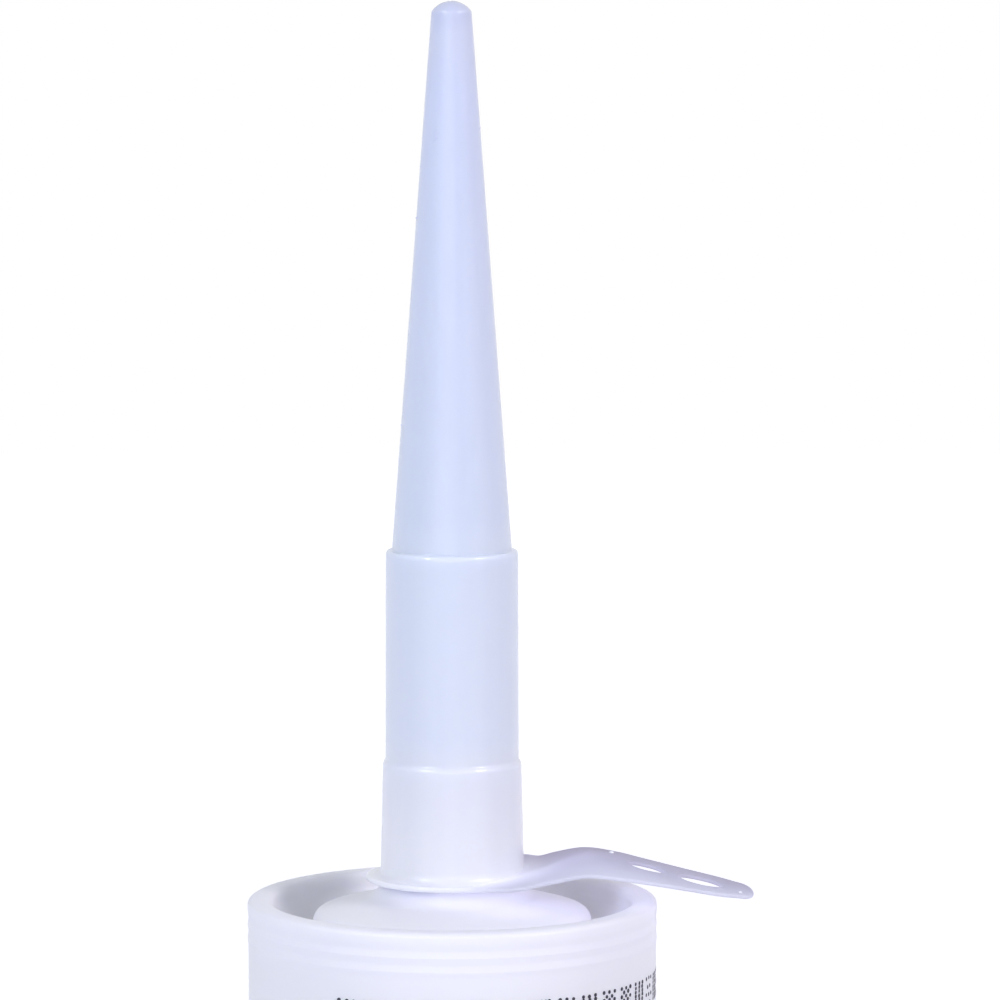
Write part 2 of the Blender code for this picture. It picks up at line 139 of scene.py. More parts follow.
def rings(r, z, segments, closed):
    # points (r, z) turned about Z: x = r cos(turn), y = r sin(turn)
    turn = np.linspace(0, 2 * math.pi, segments, endpoint=False)
    points = np.stack([np.outer(r, np.cos(turn)), np.outer(r, np.sin(turn)),
                       np.repeat(z[:, None], segments, 1)], -1).reshape(-1, 3)
    return points, gridQuads(len(r), segments, closed, True).tolist()


def turned(profile, segments):
    # a profile (r, z) from the axis round to the axis again; both ends close in a pole
    points, quads = rings(*profile[1:-1].T, segments, False)
    pole = len(points)
    k = np.arange(segments)
    after = (k + 1) % segments
    first = np.stack([np.full(segments, pole), k, after], -1)
    base = pole - segments
    last = np.stack([base + k, np.full(segments, pole + 1), base + after], -1)
    points = np.vstack([points, [[0, 0, profile[0, 1]]], [[0, 0, profile[-1, 1]]]])
    return points, quads + first.tolist() + last.tolist()


def turnedRing(profile, segments):
    # a closed profile (r, z) away from the axis, its last point the same as its first
    return rings(*profile[:-1].T, segments, True)


def throughKnots(x, knotX, knotY):
    # A smooth curve through knots: a cubic on each span, whose slope at a knot is the
    # mean of the slopes on both sides of it.
    knotX, knotY = np.asarray(knotX, float), np.asarray(knotY, float)
    slope = np.diff(knotY) / np.diff(knotX)
    tangent = np.concatenate([[slope[0]], (slope[1:] + slope[:-1]) / 2, [slope[-1]]])
    i = np.clip(np.searchsorted(knotX, x, side="right") - 1, 0, len(knotX) - 2)
    h = knotX[i + 1] - knotX[i]
    t = np.clip((x - knotX[i]) / h, 0, 1)
    near = (2 * t ** 3 - 3 * t ** 2 + 1) * knotY[i] + (t ** 3 - 2 * t ** 2 + t) * h * tangent[i]
    far = (3 * t ** 2 - 2 * t ** 3) * knotY[i + 1] + (t ** 3 - t ** 2) * h * tangent[i + 1]
    return near + far


# materials

def plasticMaterial(name, roughness, lightIn, scatterMm, more=None):
    # moulded polyethylene: IOR 1.51 to 1.54, waxy, a share of the light goes a little way in
    material = bpy.data.materials.new(name)
    material.use_nodes = True
    tree = material.node_tree
    shader = tree.nodes["Principled BSDF"]
    values = {"Roughness": roughness, "IOR": 1.52, "Specular IOR Level": 0.35,
              "Subsurface Weight": lightIn, "Subsurface Radius": (1.0, 1.0, 1.15),
              "Subsurface Scale": scatterMm * mm, **(more or {})}
    for key, value in values.items():
        shader.inputs[key].default_value = value
    place = addNode(tree, "ShaderNodeTexCoord").outputs["Object"]
    return material, tree, shader, place


def mouldSkin(tree, shader, place, grainMm, depthMm, linesMm=0.0):
    # Fine skin of a moulded surface: a soft orange peel, and draw lines along the axis, each
    # with its depth. Both are coarser than the real ones, which are too fine to show.
    peel = addNode(tree, "ShaderNodeTexNoise",
                   {"Vector": place, "Scale": 1 / (grainMm * mm), "Detail": 2.0})
    bump = addNode(tree, "ShaderNodeBump", {
        "Strength": 0.6, "Distance": depthMm * mm, "Height": peel.outputs["Fac"]})
    if linesMm:
        # 0.7 lines to a millimetre across the axis
        along = addNode(tree, "ShaderNodeMapping",
                        {"Vector": place, "Scale": (0.7 / mm, 0.7 / mm, 0.009 / mm)})
        lines = addNode(tree, "ShaderNodeTexNoise",
                        {"Vector": along.outputs["Vector"], "Scale": 1.0, "Detail": 3.0})
        bump = addNode(tree, "ShaderNodeBump", {
            "Strength": 0.5, "Distance": linesMm * mm, "Height": lines.outputs["Fac"],
            "Normal": bump.outputs["Normal"]})
    tree.links.new(bump.outputs["Normal"], shader.inputs["Normal"])


def mottled(tree, place, pale, deep, patchMm):
    # slow drift between two near colours, as pigment and wall thickness vary
    cloud = addNode(tree, "ShaderNodeTexNoise",
                    {"Vector": place, "Scale": 1 / (patchMm * mm), "Detail": 3.0})
    blend = addNode(tree, "ShaderNodeMix", {
        "Factor": cloud.outputs["Fac"], "A": linear(pale), "B": linear(deep)}, data_type="RGBA")
    return blend.outputs["Result"]


def shadedAlong(tree, share, stops, cloud, tones):
    # Colours at stops along a piece, the first at 0 and the last at 1, made lighter and darker
    # by a cloud: its 0 and 1 give the two tones.
    ramp = addNode(tree, "ShaderNodeValToRGB", {"Fac": share})
    marks = ramp.color_ramp.elements
    marks[0].color, marks[1].color = linear(stops[0][1]), linear(stops[-1][1])
    for position, colour in stops[1:-1]:
        marks.new(position).color = linear(colour)
    tone = addNode(tree, "ShaderNodeMapRange",
                   {"Value": cloud, "To Min": tones[0], "To Max": tones[1]})
    shaded = addNode(tree, "ShaderNodeVectorMath", {
        0: ramp.outputs["Color"], "Scale": tone.outputs["Result"]}, operation="SCALE")
    return shaded.outputs[0]


def passLight(tree, surface, share):
    # a milky film lets most light through, so for shadow rays this share of it is clear
    film = addNode(tree, "ShaderNodeBsdfTransparent", {"Color": linear("#F4F4FC")})
    shadow = addNode(tree, "ShaderNodeLightPath").outputs["Is Shadow Ray"]
    clear = addNode(tree, "ShaderNodeMath", {0: shadow, 1: share}, operation="MULTIPLY")
    whole = addNode(tree, "ShaderNodeMixShader",
                    {"Fac": clear.outputs[0], 1: surface, 2: film.outputs[0]})
    tree.links.new(whole.outputs[0], tree.nodes["Material Output"].inputs["Surface"])


def makeWhiteHdpe():
    # white pigmented HDPE, injection moulded: even, bright, with a soft broad sheen
    material, tree, shader, place = plasticMaterial(
        "whiteHdpeMoulded", roughness=0.42, lightIn=0.6, scatterMm=2.0)
    colour = mottled(tree, place, "#F3F2F3", "#F0EFF1", patchMm=30)
    tree.links.new(colour, shader.inputs["Base Color"])
    mouldSkin(tree, shader, place, grainMm=1.1, depthMm=0.012, linesMm=0.01)
    return material


def makeNaturalLdpe(name, lightIn, n):
    # unpigmented LDPE, injection moulded: milky. Its base colour carries painted show-through and
    # shade:
    # whiter low down, where light from the white neck and shoulder would come through it, bluish
    # where it is hollow behind, greyer at the solid tip
    material, tree, shader, place = plasticMaterial(
        name, 0.36, lightIn, 2.5, {"Coat Weight": 0.4, "Coat Roughness": 0.14})
    height = addNode(tree, "ShaderNodeSeparateXYZ", {"Vector": place}).outputs["Z"]
    share = addNode(tree, "ShaderNodeMapRange", {
        "Value": height, "From Min": nozzleFoot * mm, "From Max": (nozzleFoot + n["height"]) * mm})
    # streaks of the flow into the mould: 0.42 to a millimetre across the axis
    flow = addNode(tree, "ShaderNodeMapping",
                   {"Vector": place, "Scale": (0.42 / mm, 0.42 / mm, 0.014 / mm)})
    streaks = addNode(tree, "ShaderNodeTexNoise",
                      {"Vector": flow.outputs["Vector"], "Scale": 1.0, "Detail": 2.0})
    # painted show-through and shade along the height: whiter over the white neck, darker where
    # hollow behind
    colour = shadedAlong(tree, share.outputs["Result"], (
        (0.0, "#F0F1F6"), (0.05, "#EFF0F6"), (0.10, "#EBECF6"), (0.135, "#E8EBF7"),
        (0.17, "#E0E7F7"), (0.38, "#DDE5F7"), (0.42, "#D8E1F7"), (0.9, "#D4DBF4"),
        (0.965, "#D3D8EB"), (1.0, "#C6CBDC")), streaks.outputs["Fac"], (0.965, 1.02))
    tree.links.new(colour, shader.inputs["Base Color"])
    mouldSkin(tree, shader, place, grainMm=0.9, depthMm=0.012, linesMm=0.014)
    # the flange at its foot is thin: a shadow under it is faint
    low = addNode(tree, "ShaderNodeMapRange", {
        "Value": height, "From Min": (nozzleFoot + 0.75) * mm,
        "From Max": (nozzleFoot + 0.85) * mm, "To Min": 0.92, "To Max": 0.0})
    passLight(tree, shader.outputs[0], low.outputs["Result"])
    return material


def makeTabLdpe():
    # the same LDPE only half a millimetre thick. Its base colour carries painted show-through:
    # greyer toward the back, painted shade where the dark recess below would show through, and
    # lighter along its front edge, painted light from the white shoulder below
    material, tree, shader, place = plasticMaterial(
        "thinLdpeMoulded", 0.55, 0.0, 1.0, {"Specular IOR Level": 0.2})
    flatMap = addNode(tree, "ShaderNodeTexCoord").outputs["UV"]
    flatMap = addNode(tree, "ShaderNodeSeparateXYZ", {"Vector": flatMap})
    along, across = flatMap.outputs["X"], flatMap.outputs["Y"]
    cloud = addNode(tree, "ShaderNodeTexNoise",
                    {"Vector": place, "Scale": 1 / (6 * mm), "Detail": 3.0})
    # painted show-through across the sheet: lighter front edge, shaded back edge
    colour = shadedAlong(tree, across, (
        (0.0, "#EDEDF4"), (0.12, "#EAEAF2"), (0.32, "#E7E6F0"), (0.55, "#E5E3EE"),
        (0.85, "#E3E0EB"), (1.0, "#E1DEE9")), cloud.outputs["Fac"], (0.93, 1.05))
    mouldSkin(tree, shader, place, grainMm=0.9, depthMm=0.015)
    # painted shade: over the open air beyond the rim the base colour is made darker,
    # most of all along its back edge
    inner = addNode(tree, "ShaderNodeMapRange", {"Value": across, "To Min": 0.93, "To Max": 1.05})
    outer = addNode(tree, "ShaderNodeMapRange", {"Value": across, "To Min": 0.97, "To Max": 0.85})
    tone = addNode(tree, "ShaderNodeMapRange", {
        "Value": along, "From Min": 0.36, "From Max": 0.54, "To Min": inner.outputs["Result"],
        "To Max": outer.outputs["Result"]}, interpolation_type="SMOOTHSTEP")
    paintedBackShade = addNode(tree, "ShaderNodeVectorMath",
                     {0: colour, "Scale": tone.outputs["Result"]}, operation="SCALE")
    # near the collar it takes the collar's whiter tone: painted show-through of the white hub
    # below
    level = addNode(tree, "ShaderNodeVectorMath", {0: place, 1: (1, 1, 0)}, operation="MULTIPLY")
    fromAxis = addNode(tree, "ShaderNodeVectorMath",
                       {0: level.outputs[0], 1: (tubeX, 0, 0)}, operation="DISTANCE")
    outward = addNode(tree, "ShaderNodeMapRange", {
        "Value": fromAxis.outputs["Value"], "From Min": 9.5 * mm, "From Max": 14.5 * mm},
        interpolation_type="SMOOTHSTEP").outputs["Result"]
    paintedSheetColour = addNode(tree, "ShaderNodeMix", {
        "Factor": outward, "A": linear("#F2F2F7"), "B": paintedBackShade.outputs[0]}, data_type="RGBA")
    tree.links.new(paintedSheetColour.outputs["Result"], shader.inputs["Base Color"])
    through = addNode(tree, "ShaderNodeBsdfTranslucent", {"Color": paintedSheetColour.outputs["Result"]})
    sheet = addNode(tree, "ShaderNodeMixShader",
                    {"Fac": 0.45, 1: shader.outputs[0], 2: through.outputs[0]})
    # close to the collar its shadow is lost in the white hub below
    share = addNode(tree, "ShaderNodeMapRange", {"Value": outward, "To Min": 0.95, "To Max": 0.93})
    passLight(tree, sheet.outputs[0], share.outputs["Result"])
    return material


def makeInk():
    # black ink-jet droplets, dried matt
    material, tree, shader, place = plasticMaterial(
        "blackInkDried", roughness=0.55, lightIn=0.0, scatterMm=0.1)
    colour = mottled(tree, place, "#22212E", "#3A3947", patchMm=0.5)
    tree.links.new(colour, shader.inputs["Base Color"])
    return material


def makePistonLdpe():
    # natural LDPE, matt from the mould
    material, tree, shader, place = plasticMaterial(
        "pistonLdpeMoulded", roughness=0.45, lightIn=0.4, scatterMm=1.5)
    colour = mottled(tree, place, "#E6E8EC", "#DDDFE6", patchMm=12)
    tree.links.new(colour, shader.inputs["Base Color"])
    mouldSkin(tree, shader, place, grainMm=0.8, depthMm=0.02)
    return material


def makePaste():
    # uncured sealant, filled smooth: off-white, wet
    material, tree, shader, place = plasticMaterial(
        "sealantPasteWet", roughness=0.28, lightIn=0.3, scatterMm=1.0)
    colour = mottled(tree, place, "#EFEDE6", "#E4E2DA", patchMm=6)
    tree.links.new(colour, shader.inputs["Base Color"])
    mouldSkin(tree, shader, place, grainMm=2.5, depthMm=0.08)
    return material


# cartridge: heights from the rim's top, depths down from it

cartridge = {
    "barrelRadius": 24.85, "boreRadius": 23.35, "length": 215.0, "wall": 1.6,
    "leadIn": 3.0, "leadInDepth": 0.4,
    "rimRadius": 24.95, "rimInnerRadius": 21.9, "rimLength": 4.8, "rimStep": 0.6,
    "grooves": (2.2, 3.85), "grooveDepth": 0.10, "grooveHalfWidth": 0.8, "grooveFloor": 0.1,
    "recessDepth": 4.5, "recessWall": 2.4, "recessFloorRadius": 19.5,
    "shoulderRadius": 17.0, "shoulderDrop": 1.58,
    "hubRadius": 8.3, "hubTop": 1.95, "hubFootRadius": 9.75, "hubFoot": 0.33,
    "neckRadius": 6.1, "neckLength": 11.5, "neckBoreRadius": 4.8, "neckBoreFoot": 0.63,
    "membrane": 0.8, "segments": 256,
}


def makeCartridge(c):
    # from the neck's membrane down outside to the rear rim, then up the bore
    neckTop = c["hubTop"] + c["neckLength"]
    corners = [
        (0, neckTop), (c["neckRadius"], neckTop, 0.6),
        (c["neckRadius"], c["hubTop"], 0.35), (c["hubRadius"], c["hubTop"], 0.3),
        (c["hubFootRadius"], c["hubFoot"], 1.0), (c["shoulderRadius"], -c["shoulderDrop"], 1.4),
        (c["shoulderRadius"], -c["recessDepth"], 1.3),
        (c["recessFloorRadius"], -c["recessDepth"], 0.9),
        (c["rimInnerRadius"], -c["recessWall"], 1.0), (c["rimInnerRadius"], 0, 1.0),
        (c["rimRadius"], 0, 1.15),
    ]
    for below in c["grooves"]:
        floor = c["rimRadius"] - c["grooveDepth"]
        wide, narrow = c["grooveHalfWidth"], c["grooveFloor"]
        corners += [(c["rimRadius"], wide - below, 0.33), (floor, narrow - below, 0.3),
                    (floor, -narrow - below, 0.3), (c["rimRadius"], -wide - below, 0.33)]
    ceiling = -c["recessDepth"] - c["wall"]
    under = c["shoulderRadius"] - c["wall"]
    membraneFoot = neckTop - c["membrane"]
    corners += [
        (c["rimRadius"], -c["rimLength"], 0.3),
        (c["barrelRadius"], -c["rimLength"] - c["rimStep"], 0.5),
        (c["barrelRadius"], -c["length"], 0.35),
        (c["boreRadius"] + c["leadInDepth"], -c["length"], 0.3),
        (c["boreRadius"], c["leadIn"] - c["length"], 1.2), (c["boreRadius"], ceiling, 0.8),
        (under, ceiling, 0.5), (under, -c["shoulderDrop"] - c["wall"], 0.6),
        (c["neckBoreRadius"], -c["neckBoreFoot"], 0.8),
        (c["neckBoreRadius"], membraneFoot, 0.3), (0, membraneFoot),
    ]
    profile = softened(corners) + np.array([0, rimTop])
    points, faces = turned(profile, c["segments"])
    shell = newPiece("cartridgeShell", points, faces, whiteHdpe, "tube")
    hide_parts("cartridge")


# the neck's ridge: its start is over the hub's top, and each end fades over a share of a turn
thread = {
    "turns": 2.75, "pitch": 3.0, "height": 0.75, "halfWidth": 0.9, "start": 1.7, "sunk": 0.3,
    "fade": 0.25, "fromTurn": 0.025, "perTurn": 72, "across": 9,
}


def makeThread(t, c):
    # At turn a and place u across the ridge, u from -1 to 1: z = start + pitch a + half width u,
    # r = neck - sunk + (height + sunk) cos(pi u / 2)^0.7. Where an end fades, the part of r
    # after neck - sunk shrinks to a quarter, which leaves the end inside the neck.
    a = np.linspace(0, t["turns"], int(t["turns"] * t["perTurn"]) + 1)[:, None]
    u = np.linspace(-1, 1, t["across"])[None, :]
    grown = np.clip(np.minimum(a, t["turns"] - a) / t["fade"], 0, 1)
    crest = np.clip(np.cos(math.pi * u / 2), 0, 1) ** 0.7
    r = c["neckRadius"] - t["sunk"] + (t["height"] + t["sunk"]) * crest * (0.25 + 0.75 * grown)
    z = rimTop + c["hubTop"] + t["start"] + t["pitch"] * a + t["halfWidth"] * u
    angle = 2 * math.pi * (a + t["fromTurn"])
    points = np.stack([r * np.cos(angle), r * np.sin(angle), z + 0 * r], -1).reshape(-1, 3)
    quads = gridQuads(len(a), t["across"], joinColumns=True).tolist()
    caps = [list(range(t["across"])),
            list(range(len(points) - 1, len(points) - t["across"] - 1, -1))]
    newPiece("neckThread", points, quads + caps, whiteHdpe, "tube")


# printed line of plain dot patterns round the barrel

printLine = {
    "top": 8.6, "pitch": 0.49, "rows": 7, "columns": 5, "gapColumns": 2,
    "fromDegrees": -122.0, "toDegrees": 8, "seed": 4, "jitter": 0.03,
    "dotRadius": 0.245, "dotSizes": (0.9, 1.1), "proud": 0.02, "crown": 0.005, "sunk": 0.05,
    "sides": 12,
}


def makePrint(p, c):
    # Each mark is a block of dots in one plain pattern: dashes, checks, bars or slanting steps.
    rng = np.random.default_rng(p["seed"])
    radius = c["barrelRadius"]
    cell = (p["columns"] + p["gapColumns"]) * p["pitch"] / radius
    count = int(math.radians(p["toDegrees"] - p["fromDegrees"]) / cell)
    mark, col, row = np.meshgrid(np.arange(count), np.arange(p["columns"]),
                                 np.arange(p["rows"]), indexing="ij")
    kind = rng.integers(0, 4, count)[mark]
    shown = np.select(
        [kind == 0, kind == 1, kind == 2, kind == 3],
        [row % 3 == 0, (row + col) % 2 == 0, col % 2 == 0, (row + 2 * col) % 4 == 0])
    shown = shown.astype(bool)
    angle = math.radians(p["fromDegrees"]) + mark * cell + col * p["pitch"] / radius
    z = rimTop - p["top"] - row * p["pitch"]
    angle, z = angle[shown], z[shown]
    angle = angle + rng.normal(0, p["jitter"], angle.shape) / radius
    z = z + rng.normal(0, p["jitter"], z.shape)
    size = p["dotRadius"] * rng.uniform(*p["dotSizes"], z.shape)
    # A dot: two rings of points at phi = angle + size cos(turn) / radius, z + size sin(turn),
    # one just off the barrel and one sunk in it, and a middle point for each.
    sides = p["sides"]
    turn = np.linspace(0, 2 * math.pi, sides, endpoint=False)[None, :]
    phi = angle[:, None] + size[:, None] * np.cos(turn) / radius
    up = z[:, None] + size[:, None] * np.sin(turn)
    top, foot = radius + p["proud"], radius - p["sunk"]
    levels = [np.stack([r * np.cos(phi), r * np.sin(phi), up], -1) for r in (top, foot)]
    centres = [np.stack([r * np.cos(angle), r * np.sin(angle), z], -1)[:, None]
               for r in (top + p["crown"], foot)]
    points = np.concatenate([*levels, *centres], 1)
    k = np.arange(sides)
    n = (k + 1) % sides
    dot = np.concatenate([
        np.stack([np.full(sides, 2 * sides), k, n], -1),
        np.stack([np.full(sides, 2 * sides + 1), n + sides, k + sides], -1),
        np.stack([k, k + sides, n + sides], -1), np.stack([k, n + sides, n], -1)])
    faces = dot[None] + (np.arange(len(z)) * (2 * sides + 2))[:, None, None]
    newPiece("printedDots", points.reshape(-1, 3), faces.reshape(-1, 3).tolist(), ink,
             "tube")


# nozzle: heights from its foot

nozzle = {
    "height": 106.6, "tipRadius": 2.42, "tipLength": 1.3, "tipPoints": 12,
    "coneFootRadius": 7.27, "coneWall": 1.1, "hollowTip": 1.0, "hollowSlope": 2.6,
    "cylinderTop": 40.35, "cylinderTopRadius": 8.025, "cylinderFootRadius": 8.1,
    "cylinderWall": 1.2, "collarTop": 14.9, "collarBevel": 0.5, "collarTopRadius": 8.42,
    "collarFoot": 0.7, "collarFootRadius": 8.75, "collarBoreRadius": 7.15,
    "boreTop": 13.3, "boreStep": 0.6, "flangeRadius": 10.45, "flangeThickness": 0.66,
    "segments": 192,
}


def makeNozzle(n):
    # Outside from the tip down to the foot, then up the hollow to the tip's wall. The cap is part
    # of a ball: r = R sin(t), z = height - R (1 - cos(t)), to the corner where the cone starts.
    ball = (n["tipRadius"] ** 2 + n["tipLength"] ** 2) / (2 * n["tipLength"])
    t = np.linspace(0, math.asin(n["tipRadius"] / ball), n["tipPoints"])
    dome = np.stack([ball * np.sin(t), n["height"] - ball * (1 - np.cos(t))], -1)
    inner = n["cylinderTopRadius"] - n["cylinderWall"]
    domeFoot = n["height"] - n["tipLength"]
    rest = softened([
        tuple(dome[-2]), (*dome[-1], 0.3), (n["coneFootRadius"], n["cylinderTop"], 0.25),
        (n["cylinderTopRadius"], n["cylinderTop"], 0.65),
        (n["cylinderFootRadius"], n["collarTop"], 0.2),
        (n["collarTopRadius"], n["collarTop"] - n["collarBevel"], 0.35),
        (n["collarFootRadius"], n["collarFoot"], 1.15),
        (n["flangeRadius"], n["flangeThickness"], 0.3), (n["flangeRadius"], 0, 0.3),
        (n["collarBoreRadius"], 0, 0.2), (n["collarBoreRadius"], n["boreTop"], 0.4),
        (inner, n["boreTop"] + n["boreStep"], 0.3),
        (inner, n["cylinderTop"] - n["cylinderWall"], 0.6),
        (n["coneFootRadius"] - n["coneWall"], n["cylinderTop"], 0.6),
        (n["tipRadius"] - n["coneWall"], domeFoot - n["hollowSlope"], 0.8),
        (0, domeFoot - n["hollowTip"])])
    profile = np.concatenate([dome[:-2], rest]) + np.array([0, nozzleFoot])
    points, faces = turned(profile, n["segments"])
    shell = newPiece("nozzleShell", points, faces, naturalLdpe, "nozzle")
    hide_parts("nozzle")


# nicks up the cone, where a burr stands up: turn about the axis in degrees, height over the
# foot, half length round the cone and up it, half width, how far it stands out
nicks = {
    "places": ((-124, 90.2, 0.24, 0.32, 0.07, 0.06), (-12, 91.4, 0.3, 0.0, 0.1, 0.16),
               (-169, 86.8, 0.3, 0.0, 0.08, 0.12), (-169, 80.6, 0.4, 0.0, 0.12, 0.18),
               (-170, 55.6, 0.4, 0.0, 0.12, 0.16)),
    "edgeSunk": 0.005, "sunk": 0.1, "along": 15, "across": 7,
}


def makeNicks(k, n):
    # u along a nick and v across it, both -1 to 1: it stands (1 - u^2)(1 - v^2) proud of the cone
    grid = (k["along"], k["across"])
    u, v = np.meshgrid(*(np.linspace(-1, 1, count) for count in grid), indexing="ij")
    number = np.arange(u.size).reshape(grid)
    rim = np.concatenate([number[0], number[1:, -1], number[-1, -2::-1], number[-2:0:-1, 0]])
    nextRim = np.roll(rim, -1)
    top = gridQuads(*grid)
    sides = np.stack([rim, nextRim, nextRim + u.size, rim + u.size], -1)
    one = np.concatenate([top, top[:, ::-1] + u.size, sides])
    coneTop = n["height"] - n["tipLength"]
    points, faces = [], []
    for index, (turn, up, girth, rise, width, proud) in enumerate(k["places"]):
        length = math.hypot(girth, rise)
        z = up + rise * u + width * v * girth / length
        share = (coneTop - z) / (coneTop - n["cylinderTop"])
        cone = n["tipRadius"] + (n["coneFootRadius"] - n["tipRadius"]) * share
        angle = math.radians(turn) + (girth * u - width * v * rise / length) / cone
        for r in (cone + proud * (1 - u ** 2) * (1 - v ** 2) - k["edgeSunk"], cone - k["sunk"]):
            nick = np.stack([r * np.cos(angle), r * np.sin(angle), z + nozzleFoot], -1)
            points.append(nick.reshape(-1, 3))
        faces += (one + 2 * u.size * index).tolist()
    newPiece("nozzleNicks", np.vstack(points), faces, burrLdpe, "nozzle")


# flange and hang tab, one thin sheet: half width, lift over the foot and arch at each x

tab = {
    "rootRadius": 9.9, "rootThickness": 0.58, "thickness": 0.5, "thinOver": 6,
    "innerRadius": 7.6, "filletFoot": 8.7, "filletWidth": 0.7, "filletHeight": 0.4,
    "reach": 36.75, "endLength": 1.75, "edge": 0.22, "edgeBends": 5,
    "x": (0, 4, 7.9, 9.2, 10.7, 12.5, 16.2, 20, 23.7, 28.4, 32.8, 35),
    "lift": (0.05, 0.2, 0.5, 0.63, 0.72, 1.13, 1.76, 1.34, 0.62, -0.34, -1.24, -1.66),
    "half": (10.3, 11.2, 12.3, 11.8, 10.3, 10.5, 10.3, 9.8, 8.6, 7.2, 6.0, 4.7),
    "arch": (0, 0, 0.1, 0.2, 0.3, 0.4, 0.5, 0.5, 0.4, 0.1, 0, 0),
    "tipLift": -2.02, "liftFade": 2, "holes": ((23.7, 2.2), (30.2, 2.65)),
    "spacing": 0.62, "outlineStep": 0.32, "gridX": (-11, 37), "gridY": (-13, 13),
    # place and size of each pip, then its height as a share of its size, and its sunk foot
    "pips": ((19.5, 5.9, 0.34), (35.0, -2.9, 0.26)), "pipRise": 0.7, "pipSunk": 0.2,
}


def tabHalfWidth(t, x):
    # through the knots, then a quarter of an ellipse round the end; the flange's circle near x = 0
    last, lastHalf = t["x"][-1], t["half"][-1]
    body = throughKnots(np.clip(x, 0, last), t["x"], t["half"])
    end = lastHalf * np.sqrt(np.clip(1 - ((x - last) / (t["reach"] - last)) ** 2, 0, 1))
    circle = np.sqrt(np.clip(t["rootRadius"] ** 2 - x ** 2, 0, None))
    return np.where(x < 0, circle, np.maximum(np.where(x > last, end, body), circle))


def tabUnderside(t, x, y):
    # height over the foot: the knots' lift, which fades in before x = 0, plus
    # arch * (1 - (y / half)^2)
    knots, lifts = (*t["x"], t["reach"]), (*t["lift"], t["tipLift"])
    lift = throughKnots(np.clip(x, 0, t["reach"]), knots, lifts)
    arch = throughKnots(np.clip(x, 0, t["x"][-1]), t["x"], t["arch"])
    half = np.maximum(tabHalfWidth(t, np.minimum(x, t["x"][-1])), 1.0)
    rise = np.clip((x + t["liftFade"]) / t["liftFade"], 0, 1)
    return lift * rise ** 2 * (3 - 2 * rise) + arch * np.clip(1 - (y / half) ** 2, 0, 1)


def tabThickness(t, x, y):
    # flange thickness, thinner out along the tab, with a small fillet up to the collar
    out = np.clip(x / t["thinOver"], 0, 1)
    fillet = np.clip(1 - (np.hypot(x, y) - t["filletFoot"]) / t["filletWidth"], 0, 1)
    sheet = t["rootThickness"] + (t["thickness"] - t["rootThickness"]) * out
    return sheet + t["filletHeight"] * fillet ** 2


def evenly(loop, step):
    # the same closed line with points at equal distances
    closed = np.vstack([loop, loop[:1]])
    run = np.concatenate([[0], np.cumsum(np.linalg.norm(np.diff(closed, axis=0), axis=1))])
    at = np.linspace(0, run[-1], max(16, int(run[-1] / step)), endpoint=False)
    return np.stack([np.interp(at, run, closed[:, k]) for k in (0, 1)], -1)


def inward(loop):
    # unit normals of a closed line, to the left of its direction
    along = np.roll(loop, -1, 0) - np.roll(loop, 1, 0)
    along /= np.linalg.norm(along, axis=1)[:, None]
    return np.stack([-along[:, 1], along[:, 0]], -1)


def insideLoop(points, loop):
    # a point is inside where a line from it to the right crosses the loop an odd number of times
    near, far = loop, np.roll(loop, -1, 0)
    x, y = points[:, :1], points[:, 1:]
    spans = (near[:, 1] > y) != (far[:, 1] > y)
    rise = np.where(near[:, 1] == far[:, 1], 1.0, far[:, 1] - near[:, 1])
    crossing = near[:, 0] + (far[:, 0] - near[:, 0]) * (y - near[:, 1]) / rise
    return (spans & (x < crossing)).sum(1) % 2 == 1


def tabLoops(t):
    # outline anticlockwise: out along the front edge, round the end, back, round the flange;
    # then the holes and the round opening inside the collar, clockwise
    bodyX = np.linspace(0, t["reach"] - t["endLength"], 400)
    endX = t["reach"] - np.geomspace(t["endLength"] - 0.01, 0.0001, 120)
    x = np.concatenate([bodyX, endX, [t["reach"]]])
    half = tabHalfWidth(t, x)
    around = np.radians(np.linspace(90, 270, 200))[1:-1]
    flange = t["rootRadius"] * np.stack([np.cos(around), np.sin(around)], -1)
    outline = np.vstack([np.stack([x, -half], -1), np.stack([x, half], -1)[::-1][1:], flange])
    back = -np.linspace(0, 2 * math.pi, 96, endpoint=False)
    circle = np.stack([np.cos(back), np.sin(back)], -1)
    holes = [r * circle + np.array([x, 0]) for x, r in t["holes"]]
    return [evenly(outline, t["outlineStep"]), *holes, t["innerRadius"] * circle]


def fillSheet(t, insets):
    # points inside on a staggered grid, joined to the loops by triangles that all face up
    s = t["spacing"]
    gx, gy = np.meshgrid(np.arange(*t["gridX"], s), np.arange(*t["gridY"], s * 0.866))
    gx = gx + (np.arange(gx.shape[0]) % 2)[:, None] * s / 2
    grid = np.stack([gx.ravel(), gy.ravel()], -1)
    keep = insideLoop(grid, insets[0])
    for index, loop in enumerate(insets):
        keep &= np.linalg.norm(grid[:, None] - loop[None], axis=2).min(1) > 0.35 * s
        if index:
            keep &= ~insideLoop(grid, loop)
    edges, start = [], 0
    for loop in insets:
        k = np.arange(len(loop))
        edges += (np.stack([k, (k + 1) % len(loop)], -1) + start).tolist()
        start += len(loop)
    sheet = np.vstack([*insets, grid[keep]])
    made = delaunay_2d_cdt([tuple(p) for p in sheet.tolist()], edges, [], 0, 1e-7)
    flat, triangles = np.array([tuple(p) for p in made[0]]), np.array(made[2])
    middle = flat[triangles].mean(1)
    inside = insideLoop(middle, insets[0])
    for loop in insets[1:]:
        inside &= ~insideLoop(middle, loop)
    triangles = triangles[inside]
    a, b, c = (flat[triangles[:, k]] for k in range(3))
    flip = (b - a)[:, 0] * (c - a)[:, 1] - (b - a)[:, 1] * (c - a)[:, 0] < 0
    triangles[flip] = triangles[flip][:, ::-1]
    return flat, triangles


